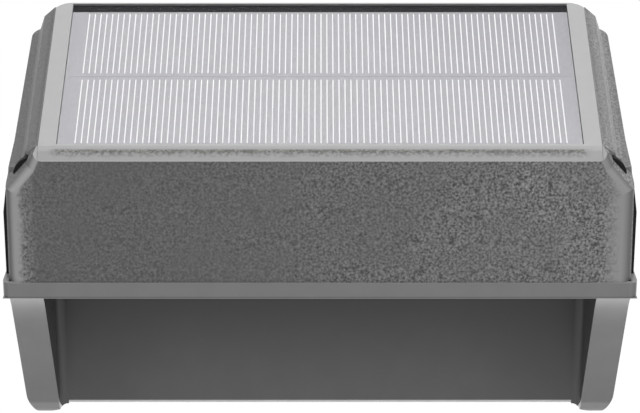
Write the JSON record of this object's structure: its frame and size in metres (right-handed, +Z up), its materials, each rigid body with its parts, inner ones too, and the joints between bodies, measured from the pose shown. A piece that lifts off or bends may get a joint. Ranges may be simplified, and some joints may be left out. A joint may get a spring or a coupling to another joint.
{
  "type": "fence light",
  "caption": "Solar fence light: textured housing with a sloped solar panel above a lamp bay that opens downwards, hung on a fence or wall by keyholes.",
  "frame": {"origin": "midway between the entries of the two keyholes, on the back plate's rear face, which meets the wall", "axes": "+X runs along the light's width, +Y points into the wall, so the front looks along -Y, and +Z is up"},
  "size_m": [0.12, 0.044, 0.0835],
  "materials": {
    "cover_plastic": "fine pebbled moulding texture, matt",
    "housing_plastic": "smooth satin moulding",
    "bezel_plastic": "smooth satin light grey moulding",
    "clear_film": "clear gloss laminate",
    "silicon_cell": "lilac grey silicon under printed silver fingers",
    "border_ink": "near black gloss",
    "glass_fibre_board": "green solder mask",
    "sealant": "dull greyish brown sealant",
    "silicone_seal": "soft matt black",
    "frosted_lens": "frosted milky",
    "lamp_package": "white package with yellow phosphor",
    "button_rubber": "matt black",
    "switch_plastic": "black moulded",
    "chip_plastic": "matt black",
    "ferrite": "matt dark grey",
    "battery_sleeve": "shrunk plain blue sleeve",
    "cradle_plastic": "matt black moulding",
    "nickelled_steel": "nickel plated",
    "stainless_steel": "bright stainless",
    "wire_sleeve": "red soft plastic sleeve"
  },
  "bodies": {
    "housing": {"top_cover": "cover_plastic", "side_seals": "silicone_seal", "panel_frame": "bezel_plastic", "panel_film": "clear_film", "panel_border": "border_ink", "panel_board": "glass_fibre_board", "panel_adhesive": "sealant", "solar_cells": "silicon_cell", "base_housing": "housing_plastic", "main_seal": "silicone_seal", "back_plate": "housing_plastic", "diffuser_lens": "frosted_lens", "lens_seal": "silicone_seal", "led_board": "glass_fibre_board", "leds": "lamp_package", "switch_body": "switch_plastic", "control_board": "glass_fibre_board", "control_chips": "chip_plastic", "charge_coil": "ferrite", "battery_cell": "battery_sleeve", "battery_cradle": "cradle_plastic", "battery_tab": "nickelled_steel", "battery_spring": "nickelled_steel", "button_spring": "stainless_steel", "cover_screws": "stainless_steel", "back_screws": "stainless_steel", "board_screws": "stainless_steel", "panel_wires": "wire_sleeve", "led_wires": "wire_sleeve", "battery_wires": "wire_sleeve"},
    "button": {"button_cap": "button_rubber", "button_plunger": "switch_plastic"}
  },
  "joints": [
    {"name": "button_press", "type": "slide", "parent": "housing", "child": "button", "axis": [0, 0, 1], "range_m": [0, 0.0015], "stiffness_N_per_m": 700, "deforming": ["button_spring"]}
  ]
}
